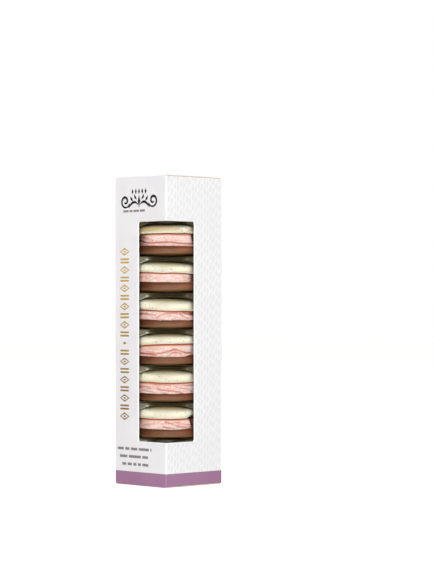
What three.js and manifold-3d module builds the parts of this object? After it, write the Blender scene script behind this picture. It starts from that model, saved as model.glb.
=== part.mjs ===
// A box of macarons: an upright white folding carton with a window cut round one of its vertical
// folds, and inside it a thin formed tray that holds six round filled macarons, one above the other.
// Millimetres, +Z up. The origin is the middle of the carton's underside. The title panel faces -Y
// and the patterned side panel faces +X, so the fold with the window stands at +X, -Y.

import * as THREE from "three";
import { mergeVertices } from "three/addons/utils/BufferGeometryUtils.js";
import Module from "manifold-3d";

const wasm = await Module();
wasm.setup();

// Carton: folded board, closed at both ends by a panel that hinges on the title panel
const CARTON_WIDTH = 44.1;
const CARTON_HEIGHT = 178;
const BOARD = 0.55;
const FOLD_RADIUS = 0.8;
const END_PANEL_INSET = 0.45;
const CUT_MARGIN = 3;

// Window: its height, and how far it reaches from the fold along each of its two panels
const WINDOW_BOTTOM = 25.6;
const WINDOW_TOP = 151.8;
const WINDOW_ON_TITLE_PANEL = 23.1;
const WINDOW_ON_SIDE_PANEL = 21.7;
const WINDOW_CORNER_RADIUS = 1.2;

// Macarons: lying flat in a column, the lowest point of each one a pitch above that of the next
const MACARON_COUNT = 6;
const LOWEST_SEAT = 26.9;
const PITCH = 21.1;
const BASE_RADIUS = 19.3;
const TOP_RADIUS = 18.9;
const FILLING_RADIUS = 18.2;
const BASE_ROUND_HEIGHT = 2.3;
const TOP_SIDE_HEIGHT = 1.4;
const LAYER_GAP = 0.2;
const SHELL_COLUMNS = 36;
const FILLING_COLUMNS = 48;
const FILLING_ROWS = 7;

// Tray: one thin sheet, formed into a pocket for each macaron with a rib above and below it
const SHEET = 0.55;
const TRAY_CLEARANCE = 0.4;
const POCKET_RADIUS = 20;
const POCKET_FLOOR_DROP = 0.3;
const POCKET_DOME = 1.5;
const RIB_THICKNESS = 3.5;
const RIB_SHOULDER = 11.4;
const RIB_SHOULDER_ROUND = 1.3;
const RIB_RECESS_DEPTH = 7.4;
const FLANGE_FORWARD = 8;
const POCKET_COLUMNS = 32;

const halfWidth = CARTON_WIDTH / 2;
const innerHalf = halfWidth - BOARD;
const endThickness = 2 * BOARD;
const diagonalTurn = Math.PI / 4;

// What differs from one macaron to the next, the first being the highest in the carton.
// base, filling and top are heights. lean is how much the top shell drops per millimetre to the right.
// A groove runs round the filling at a share of its height: level, plus slope per radian, plus a wave.
const MACARONS = [
  {
    base: 5.2,
    filling: 7.4,
    top: 4.9,
    lean: 0.0,
    grooves: [{ level: 0.34, slope: 0.0, wave: 0.04, turns: 3, phase: 0.4, width: 0.1, depth: 1.1 }],
  },
  {
    base: 5.2,
    filling: 5.7,
    top: 6.0,
    lean: 0.03,
    grooves: [{ level: 0.12, slope: 0.0, wave: 0.08, turns: 4, phase: 1.2, width: 0.12, depth: 0.7 }],
  },
  {
    base: 5.1,
    filling: 5.6,
    top: 6.1,
    lean: 0.05,
    grooves: [
      { level: 0.62, slope: 0.35, wave: 0.05, turns: 3, phase: 0.2, width: 0.12, depth: 0.9 },
      { level: 0.2, slope: 0.3, wave: 0.05, turns: 5, phase: 2.2, width: 0.12, depth: 0.7 },
    ],
  },
  {
    base: 4.7,
    filling: 7.9,
    top: 4.9,
    lean: -0.045,
    grooves: [
      { level: 0.34, slope: 0.0, wave: 0.2, turns: 3, phase: -0.7, width: 0.09, depth: 1.5 },
      { level: 0.12, slope: 0.1, wave: 0.1, turns: 4, phase: 0.9, width: 0.09, depth: 1.0 },
    ],
  },
  {
    base: 5.0,
    filling: 6.5,
    top: 5.8,
    lean: 0.02,
    grooves: [
      { level: 0.62, slope: -0.28, wave: 0.06, turns: 3, phase: 0.0, width: 0.1, depth: 1.0 },
      { level: 0.24, slope: -0.2, wave: 0.08, turns: 4, phase: 1.6, width: 0.1, depth: 0.9 },
    ],
  },
  {
    base: 4.9,
    filling: 6.9,
    top: 5.3,
    lean: 0.0,
    grooves: [
      { level: 0.7, slope: -0.4, wave: 0.05, turns: 3, phase: 0.6, width: 0.12, depth: 0.9 },
      { level: 0.3, slope: -0.35, wave: 0.06, turns: 4, phase: 2.8, width: 0.12, depth: 1.0 },
    ],
    chip: { from: 0.62, to: 1.25, height: 2.0 },
  },
];

const boardMaterial = new THREE.MeshStandardMaterial({ color: 0xf1eff1, roughness: 0.55, metalness: 0 });
const trayMaterial = new THREE.MeshStandardMaterial({ color: 0x7d7763, roughness: 0.25, metalness: 0 });
const baseMaterial = new THREE.MeshStandardMaterial({ color: 0x7a4a34, roughness: 0.45, metalness: 0 });
const fillingMaterial = new THREE.MeshStandardMaterial({ color: 0xecbcae, roughness: 0.8, metalness: 0 });
const topMaterial = new THREE.MeshStandardMaterial({ color: 0xefe8cc, roughness: 0.5, metalness: 0 });

// Solids and meshes

function solidOf(geometry) {
  geometry.deleteAttribute("normal");
  geometry.deleteAttribute("uv");
  const merged = mergeVertices(geometry);
  const vertProperties = new Float32Array(merged.attributes.position.array);
  const triVerts = new Uint32Array(merged.index.array);
  return new wasm.Manifold(new wasm.Mesh({ numProp: 3, vertProperties, triVerts }));
}

function geometryOf(solid) {
  const { vertProperties, triVerts, numProp } = solid.getMesh();
  const positions = new Float32Array((vertProperties.length / numProp) * 3);
  for (let vertex = 0; vertex < positions.length / 3; vertex += 1) {
    positions[3 * vertex] = vertProperties[numProp * vertex];
    positions[3 * vertex + 1] = vertProperties[numProp * vertex + 1];
    positions[3 * vertex + 2] = vertProperties[numProp * vertex + 2];
  }
  const geometry = new THREE.BufferGeometry();
  geometry.setAttribute("position", new THREE.BufferAttribute(positions, 3));
  geometry.setIndex(new THREE.BufferAttribute(new Uint32Array(triVerts), 1));
  geometry.computeVertexNormals();
  return geometry;
}

function namedMesh(name, geometry, material) {
  const mesh = new THREE.Mesh(geometry, material);
  mesh.name = name;
  return mesh;
}

function extrudeUp(shape, from, to, curveSegments) {
  const geometry = new THREE.ExtrudeGeometry(shape, { depth: to - from, bevelEnabled: false, curveSegments });
  geometry.translate(0, 0, from);
  return solidOf(geometry);
}

// A shape drawn in y and z, extruded along x
function extrudeAcross(shape, from, to, curveSegments) {
  const geometry = new THREE.ExtrudeGeometry(shape, { depth: to - from, bevelEnabled: false, curveSegments });
  geometry.rotateX(Math.PI / 2);
  geometry.rotateZ(Math.PI / 2);
  geometry.translate(from, 0, 0);
  return solidOf(geometry);
}

// A shape drawn in x and z, extruded along y
function extrudeBack(shape, from, to, curveSegments) {
  const geometry = new THREE.ExtrudeGeometry(shape, { depth: to - from, bevelEnabled: false, curveSegments });
  geometry.rotateX(Math.PI / 2);
  geometry.translate(0, to, 0);
  return solidOf(geometry);
}

function roundedRectangle(left, right, low, high, radius) {
  const shape = new THREE.Shape();
  shape.moveTo(left + radius, low);
  shape.lineTo(right - radius, low);
  shape.absarc(right - radius, low + radius, radius, -Math.PI / 2, 0, false);
  shape.lineTo(right, high - radius);
  shape.absarc(right - radius, high - radius, radius, 0, Math.PI / 2, false);
  shape.lineTo(left + radius, high);
  shape.absarc(left + radius, high - radius, radius, Math.PI / 2, Math.PI, false);
  shape.lineTo(left, low + radius);
  shape.absarc(left + radius, low + radius, radius, Math.PI, 1.5 * Math.PI, false);
  return shape;
}

// Carton

// The end panel as seen from the side: folded over at the title panel, tucked in at the back panel
function endPanelProfile() {
  const front = -halfWidth;
  const back = innerHalf;
  const shape = new THREE.Shape();
  shape.moveTo(front, 0);
  shape.lineTo(back, 0);
  shape.lineTo(back, endThickness - FOLD_RADIUS);
  shape.absarc(back - FOLD_RADIUS, endThickness - FOLD_RADIUS, FOLD_RADIUS, 0, Math.PI / 2, false);
  shape.lineTo(front + FOLD_RADIUS, endThickness);
  shape.absarc(front + FOLD_RADIUS, endThickness - FOLD_RADIUS, FOLD_RADIUS, Math.PI / 2, Math.PI, false);
  return shape;
}

function endPanel(top) {
  const reach = halfWidth - END_PANEL_INSET;
  const panel = extrudeAcross(endPanelProfile(), -reach, reach, 3);
  if (top) {
    return panel.translate([0, 0, CARTON_HEIGHT - endThickness]);
  }
  return panel.mirror([0, 0, 1]).translate([0, 0, endThickness]);
}

function windowCut() {
  const hidden = halfWidth + CUT_MARGIN;
  const onTitle = halfWidth - WINDOW_ON_TITLE_PANEL;
  const onSide = -halfWidth + WINDOW_ON_SIDE_PANEL;
  const titleShape = roundedRectangle(onTitle, hidden, WINDOW_BOTTOM, WINDOW_TOP, WINDOW_CORNER_RADIUS);
  const sideShape = roundedRectangle(-hidden, onSide, WINDOW_BOTTOM, WINDOW_TOP, WINDOW_CORNER_RADIUS);
  const throughTitle = extrudeBack(titleShape, -hidden, -innerHalf + CUT_MARGIN, 4);
  const throughSide = extrudeAcross(sideShape, innerHalf - CUT_MARGIN, hidden, 4);
  return throughTitle.add(throughSide);
}

function cartonSolid() {
  const outline = roundedRectangle(-halfWidth, halfWidth, -halfWidth, halfWidth, FOLD_RADIUS);
  const hollow = roundedRectangle(-innerHalf, innerHalf, -innerHalf, innerHalf, FOLD_RADIUS - BOARD);
  const walls = extrudeUp(outline, BOARD, CARTON_HEIGHT - BOARD, 3);
  const inside = extrudeUp(hollow, endThickness, CARTON_HEIGHT - endThickness, 1);
  return walls.add(endPanel(true)).add(endPanel(false)).subtract(inside).subtract(windowCut());
}

// Tray, in a frame turned so that -Y looks out through the fold with the window

function seatOf(index) {
  return LOWEST_SEAT + PITCH * (MACARON_COUNT - 1 - index);
}

// The plan of a rib: along both window panels, with a round recess between its two shoulders.
// shrink moves every front edge inwards by that much, and backReach says how far the plan goes back.
function ribPlan(shrink, backReach) {
  const reach = (innerHalf - TRAY_CLEARANCE) * Math.SQRT2 - shrink * Math.SQRT2;
  const shoulder = RIB_SHOULDER + shrink;
  const inner = shoulder - RIB_SHOULDER_ROUND;
  const recessFront = -(reach - shoulder) + RIB_SHOULDER_ROUND;
  const recessRadius = (inner * inner + RIB_RECESS_DEPTH * RIB_RECESS_DEPTH) / (2 * RIB_RECESS_DEPTH) - shrink;
  const recessDeep = recessFront + RIB_RECESS_DEPTH + shrink;
  const halfAngle = Math.asin(Math.min(1, inner / recessRadius));
  const shape = new THREE.Shape();
  shape.moveTo(-reach, 0);
  shape.lineTo(-shoulder - 0.4, -(reach - shoulder) + 0.4);
  shape.quadraticCurveTo(-shoulder + 0.3, -(reach - shoulder) - 0.3, -inner, recessFront);
  const steps = 6;
  for (let step = 1; step < steps; step += 1) {
    const angle = halfAngle * ((2 * step) / steps - 1);
    const drop = recessRadius * (1 - Math.cos(angle));
    shape.lineTo(recessRadius * Math.sin(angle), recessDeep - drop);
  }
  shape.lineTo(inner, recessFront);
  shape.quadraticCurveTo(shoulder - 0.3, -(reach - shoulder) - 0.3, shoulder + 0.4, -(reach - shoulder) + 0.4);
  shape.lineTo(reach, 0);
  shape.lineTo(reach, backReach - reach);
  shape.lineTo(0, backReach);
  shape.lineTo(-reach, backReach - reach);
  return shape;
}

// The plan of the tray beside the pockets, which stops short of the part of them that shows
function flangePlan(shrink, backReach) {
  const reach = (innerHalf - TRAY_CLEARANCE) * Math.SQRT2 - shrink * Math.SQRT2;
  const forward = FLANGE_FORWARD - shrink;
  const shape = new THREE.Shape();
  shape.moveTo(-reach, 0);
  shape.lineTo(-reach + forward, -forward);
  shape.lineTo(reach - forward, -forward);
  shape.lineTo(reach, 0);
  shape.lineTo(reach, backReach - reach);
  shape.lineTo(0, backReach);
  shape.lineTo(-reach, backReach - reach);
  return shape;
}

function pocket(index, grow) {
  const floor = seatOf(index) - POCKET_FLOOR_DROP;
  const rim = seatOf(index) + PITCH - POCKET_FLOOR_DROP - RIB_THICKNESS;
  const radius = POCKET_RADIUS + grow;
  const profile = [new THREE.Vector2(0, floor - grow), new THREE.Vector2(radius, floor - grow)];
  for (const share of [1, 0.6]) {
    profile.push(new THREE.Vector2(radius * share, rim + grow + POCKET_DOME * (1 - share * share)));
  }
  profile.push(new THREE.Vector2(0, rim + grow + POCKET_DOME));
  const geometry = new THREE.LatheGeometry(profile, POCKET_COLUMNS);
  geometry.rotateX(Math.PI / 2);
  return solidOf(geometry);
}

// The tray's body as a full solid, drawn in from its own surface by the sheet's thickness or by nothing
function trayBody(shrink, backReach) {
  const bottom = endThickness + TRAY_CLEARANCE;
  const top = CARTON_HEIGHT - endThickness - TRAY_CLEARANCE;
  let body = extrudeUp(flangePlan(shrink, backReach), bottom + shrink, top - shrink, 1);
  for (let index = -1; index < MACARON_COUNT; index += 1) {
    const ribTop = seatOf(index) - POCKET_FLOOR_DROP;
    const above = index === -1 ? top : ribTop;
    const below = index === MACARON_COUNT - 1 ? bottom : ribTop - RIB_THICKNESS;
    body = body.add(extrudeUp(ribPlan(shrink, backReach), below + shrink, above - shrink, 2));
  }
  for (let index = 0; index < MACARON_COUNT; index += 1) {
    body = body.subtract(pocket(index, shrink));
  }
  return body;
}

function traySolid() {
  const reach = (innerHalf - TRAY_CLEARANCE) * Math.SQRT2;
  return trayBody(0, reach).subtract(trayBody(SHEET, reach + 2 * CUT_MARGIN));
}

// Macarons, in the same turned frame; angles start at the front and grow towards the right

function onCircle(radius, angle, height) {
  return new THREE.Vector3(radius * Math.sin(angle), -radius * Math.cos(angle), height);
}

// A closed solid of rings from low to high, with a point at the middle of its lower and upper face
function ringSolid(rows, columns, lowPoint, highPoint, pointAt) {
  const positions = [lowPoint.x, lowPoint.y, lowPoint.z, highPoint.x, highPoint.y, highPoint.z];
  for (let row = 0; row < rows; row += 1) {
    for (let column = 0; column < columns; column += 1) {
      const point = pointAt(row, (column / columns) * 2 * Math.PI);
      positions.push(point.x, point.y, point.z);
    }
  }
  const vertex = (row, column) => 2 + row * columns + (column % columns);
  const index = [];
  for (let column = 0; column < columns; column += 1) {
    index.push(0, vertex(0, column + 1), vertex(0, column));
    index.push(1, vertex(rows - 1, column), vertex(rows - 1, column + 1));
    for (let row = 0; row < rows - 1; row += 1) {
      index.push(vertex(row, column), vertex(row, column + 1), vertex(row + 1, column + 1));
      index.push(vertex(row, column), vertex(row + 1, column + 1), vertex(row + 1, column));
    }
  }
  const geometry = new THREE.BufferGeometry();
  geometry.setAttribute("position", new THREE.BufferAttribute(new Float32Array(positions), 3));
  geometry.setIndex(index);
  geometry.computeVertexNormals();
  return geometry;
}

// Slight waves round a shell's edge, from about -1 to 1
function unevenness(angle, seed) {
  return 0.6 * Math.sin(2 * angle + seed) + 0.4 * Math.sin(5 * angle + 2.3 * seed);
}

function baseShell(spec, seed) {
  const rimTop = spec.base - LAYER_GAP;
  const profile = [];
  for (const degrees of [30, 52, 70, 90]) {
    const angle = (degrees * Math.PI) / 180;
    profile.push([BASE_RADIUS * Math.sin(angle), BASE_ROUND_HEIGHT * (1 - Math.cos(angle))]);
  }
  profile.push([BASE_RADIUS + 0.05, rimTop - 0.5]);
  profile.push([BASE_RADIUS - 0.35, rimTop]);
  profile.push([BASE_RADIUS - 1.3, rimTop - 0.2]);
  const pointAt = (row, angle) => {
    const [radius, height] = profile[row];
    return onCircle(radius + 0.1 * unevenness(angle, seed), angle, height);
  };
  const high = new THREE.Vector3(0, 0, rimTop - 0.2);
  return ringSolid(profile.length, SHELL_COLUMNS, new THREE.Vector3(), high, pointAt);
}

function grooveDepth(spec, angle, share) {
  const aroundFront = Math.sin(angle);
  let depth = 0;
  for (const groove of spec.grooves) {
    const wave = groove.wave * Math.sin(groove.turns * angle + groove.phase);
    const level = groove.level + groove.slope * aroundFront + wave;
    const distance = (share - level) / groove.width;
    depth = Math.max(depth, groove.depth * Math.exp(-distance * distance));
  }
  return depth;
}

function filling(spec, seed) {
  const low = spec.base - LAYER_GAP;
  const height = spec.filling;
  const pointAt = (row, angle) => {
    const share = row / (FILLING_ROWS - 1);
    const crown = 0.9 * Math.sqrt(Math.max(0, 4 * share * (1 - share)));
    const lumps = 0.25 * unevenness(1.5 * Math.sin(angle) + 3 * share, seed + 1.7);
    const radius = FILLING_RADIUS - 0.6 + crown + lumps - grooveDepth(spec, angle, share);
    const drop = share * spec.lean * radius * Math.sin(angle);
    return onCircle(radius, angle, low + height * share - drop);
  };
  const lowPoint = new THREE.Vector3(0, 0, low);
  const highPoint = new THREE.Vector3(0, 0, low + height);
  return ringSolid(FILLING_ROWS, FILLING_COLUMNS, lowPoint, highPoint, pointAt);
}

// How far the lower edge of a top shell is broken away at this angle
function chipHeight(chip, angle) {
  if (!chip || angle < chip.from || angle > chip.to) {
    return 0;
  }
  return chip.height * Math.sin((Math.PI * (angle - chip.from)) / (chip.to - chip.from));
}

function topShell(spec, seed) {
  const low = spec.base + spec.filling;
  const dome = spec.top - TOP_SIDE_HEIGHT;
  const profile = [
    [TOP_RADIUS - 0.8, 0],
    [TOP_RADIUS - 0.1, 0.15],
  ];
  for (const degrees of [0, 20, 38, 60]) {
    const angle = (degrees * Math.PI) / 180;
    profile.push([TOP_RADIUS * Math.cos(angle), TOP_SIDE_HEIGHT + dome * Math.sin(angle)]);
  }
  const pointAt = (row, angle) => {
    const [radius, height] = profile[row];
    const broken = chipHeight(spec.chip, angle) * Math.max(0, 1 - height / 3) * (row > 0 ? 1 : 0.35);
    const wide = radius + 0.12 * unevenness(angle, seed) - 0.5 * broken;
    const wave = row === 1 ? 0.08 * unevenness(angle + 1, seed) : 0;
    const drop = spec.lean * wide * Math.sin(angle);
    return onCircle(wide, angle, low + height + wave + broken - drop);
  };
  const lowPoint = new THREE.Vector3(0, 0, low);
  const highPoint = new THREE.Vector3(0, 0, low + spec.top);
  return ringSolid(profile.length, SHELL_COLUMNS, lowPoint, highPoint, pointAt);
}

function macaron(index) {
  const spec = MACARONS[index];
  const seed = 1.3 * index;
  const name = `macaron_${index + 1}`;
  const stack = new THREE.Group();
  stack.add(namedMesh(`${name}_base`, baseShell(spec, seed), baseMaterial));
  stack.add(namedMesh(`${name}_filling`, filling(spec, seed), fillingMaterial));
  stack.add(namedMesh(`${name}_top`, topShell(spec, seed + 0.6), topMaterial));
  stack.position.z = seatOf(index);
  return stack;
}

const contents = new THREE.Group();
contents.rotation.z = diagonalTurn;
contents.add(namedMesh("tray", geometryOf(traySolid()), trayMaterial));
for (let index = 0; index < MACARON_COUNT; index += 1) {
  contents.add(macaron(index));
}

const boxOfMacarons = new THREE.Group();
boxOfMacarons.add(namedMesh("carton", geometryOf(cartonSolid()), boardMaterial));
boxOfMacarons.add(contents);

export default boxOfMacarons;
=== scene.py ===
"""Looks for a box of macarons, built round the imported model.

Lengths are in millimetres until a mesh is made, which turns them into metres. The title panel faces -Y
and the patterned panel faces +X. The tray and the macarons stand in a frame turned by an eighth of a
turn, in which -Y looks out through the window fold, +X is to the right and angles start at the front.
"""

import math
from contextlib import contextmanager

import bmesh
import bpy
import numpy as np
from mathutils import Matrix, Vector


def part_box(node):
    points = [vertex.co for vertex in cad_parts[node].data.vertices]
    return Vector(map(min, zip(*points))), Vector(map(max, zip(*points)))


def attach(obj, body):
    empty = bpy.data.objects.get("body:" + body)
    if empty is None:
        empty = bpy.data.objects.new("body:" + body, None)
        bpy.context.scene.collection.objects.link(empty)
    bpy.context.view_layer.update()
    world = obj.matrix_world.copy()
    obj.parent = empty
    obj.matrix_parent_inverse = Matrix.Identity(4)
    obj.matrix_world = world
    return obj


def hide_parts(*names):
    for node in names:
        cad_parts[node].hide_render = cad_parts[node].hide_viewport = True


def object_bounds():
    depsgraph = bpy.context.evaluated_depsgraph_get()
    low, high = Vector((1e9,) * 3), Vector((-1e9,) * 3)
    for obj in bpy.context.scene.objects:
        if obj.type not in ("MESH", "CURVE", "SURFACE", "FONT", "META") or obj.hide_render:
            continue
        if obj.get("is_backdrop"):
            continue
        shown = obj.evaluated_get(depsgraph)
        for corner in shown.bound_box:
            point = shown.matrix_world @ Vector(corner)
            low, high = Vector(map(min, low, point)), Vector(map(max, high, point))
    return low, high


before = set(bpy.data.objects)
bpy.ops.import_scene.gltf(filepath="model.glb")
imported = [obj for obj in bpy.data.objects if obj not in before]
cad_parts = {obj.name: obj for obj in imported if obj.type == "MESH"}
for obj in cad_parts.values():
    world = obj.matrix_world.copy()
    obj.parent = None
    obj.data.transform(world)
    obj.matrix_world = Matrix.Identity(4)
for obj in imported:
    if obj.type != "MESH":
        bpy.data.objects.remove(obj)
cad_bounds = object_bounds()

MM = 0.001
TOLERANCE = 0.02
TURN = math.radians(45)

# Carton. The card is drawn in by INK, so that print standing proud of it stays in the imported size
INK = 0.03
INK_DEPTH = 0.02
BOARD = 0.55
FOLD_RADIUS = 0.8
TOP_FOLD_RADIUS = 0.35
END_PANEL_INSET = 0.45
END_PANEL_CORNER = 0.45
END_PANEL_SETBACK = 1.7
CARTON_WIDTH = 2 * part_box("carton")[1].x / MM
CARTON_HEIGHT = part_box("carton")[1].z / MM
HALF = CARTON_WIDTH / 2 - INK
INNER_HALF = CARTON_WIDTH / 2 - BOARD
END_THICKNESS = 2 * BOARD
BAND_HEIGHT = 7.84

# Window, measured from the fold that it wraps round
WINDOW_BOTTOM = 25.6
WINDOW_TOP = 151.8
WINDOW_ON_TITLE_PANEL = 23.6
WINDOW_ON_SIDE_PANEL = 22.1
WINDOW_CORNER_RADIUS = 1.2
CUT_BEVEL = 0.4

# Leaves printed on the patterned panels. Each column of them is turned over against the last, and
# stands a share of a row lower. The corners are those of one leaf, from its middle
LEAF_COLUMN = 2.32
LEAF_ROW = 5.65
LEAF_SHIFT = 0.34
LEAF_CORNERS = [(0.8, 2.75), (-0.3, 1.5), (-1.25, -1.3), (0.8, -2.7)]

# Print on the title panel, from its middle and from the foot
GOLD_ACROSS = -13.6
GOLD_LOW = 39.5
GOLD_STEP = 5.3
GOLD_COUNT = 19
GOLD_BREAK = 8
GOLD_REACH = 3.7
GOLD_LINE = 1.0
SCROLLS_ACROSS = -1.0
SCROLLS_HEIGHT = 163.6
LOZENGES_HEIGHT = 169.4
LOZENGE_STEP = 2.8

# Tray
SHEET = 0.5
TRAY_CLEARANCE = 0.4
POCKET_RADIUS = 20.0
POCKET_FLOOR_DROP = 0.8
POCKET_FLOOR_STEP = 0.09
POCKET_CORNER = 0.8
POCKET_DOME = 1.95
POCKET_SIDE_DROP = 1.8
POCKET_SIDES = (10.5, 17.0)
RIB_THICKNESS = 3.5
RIB_SHOULDER = 11.4
RIB_RECESS_DEPTH = 7.4
RIB_EDGE = 0.7
RIB_LIP = 0.35
RIB_SLANT = 0.8
RECESS_MARGIN = 1.0
RECESS_SOFTNESS = 2.4
KNOB_HEIGHT = 0.4
KNOB_HALF_WIDTH = 0.55
KNOB_HALF_HEIGHT = 0.6
FLANGE_FORWARD = 8.0
TRAY_REACH = (INNER_HALF - TRAY_CLEARANCE) * math.sqrt(2)
WELD_DISTANCE = 0.02

# Shares of the way out at which the tray's flat stretches have their points
RIB_SHARES = (0.02, 0.35, 0.7, 0.9)
POCKET_SHARES = (0.02, 0.4, 0.8, 0.96)

# Painted light on the tray's plastic, as a paleness mixed into its colour: 0 is painted shade, 1 common
# light, 2 a painted highlight. The right shoulders get less, as painted shade, and the rib under the lid
# has a share of the others' painted light, as painted shade under the lid
LEFT_SHOULDER_PAINTED_LIGHT = 1.24
RIGHT_SHOULDER_PAINTED_LIGHT = 0.58
TOP_RIB_LIGHT_SHARE = 0.35
LIP_GLEAM = 0.3
KNOB_GLEAM = 1.5

# Macarons
COUNT = 6
BASE_RADIUS = 19.3
TOP_RADIUS = 19.4
FILLING_RADIUS = 18.5
BASE_ROUND_HEIGHT = 1.7
RIM_LIP_HEIGHT = 1.3
RIM_LIP_REACH = 0.05
RIM_EDGE = 0.4
RIM_DEPTH = 0.6
GROOVE_DEPTH = 0.14
TOP_EDGE = 0.3
FILLING_CROWN = 0.75
FILLING_OVERHANG = 1.45
FILLING_EDGE = 0.8
BASE_POWER = 2 / 2.7
TOP_POWER = 2 / 4.6
SHELL_COLUMNS = 180
FILLING_COLUMNS = 300
FILLING_ROWS = 44
SEATS = [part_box(f"macaron_{number}_base")[0].z / MM for number in range(1, COUNT + 1)]
PITCH = SEATS[0] - SEATS[1]
FLOORS = [seat - POCKET_FLOOR_DROP + POCKET_FLOOR_STEP * index for index, seat in enumerate(SEATS)]

# Light. The lamps are a little cool and the rest is warm, which leaves the card neutral and warms shadows
LAMP_TINT = (0.85, 0.92, 1.02)
WORLD_TINT = (1.0, 0.82, 0.6, 1.0)

# Camera, fitted to the photograph. Its place is in metres, and the horizon is in pixels under the middle
IMAGE_HEIGHT = 579
FOCAL_PIXELS = 2045.3
HORIZON_BELOW_MIDDLE = 16.9
CAMERA_PLACE = (0.8821, -0.8021, 0.1032)
CAMERA_FORWARD = (-0.7237, 0.6901, 0.0)
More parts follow.
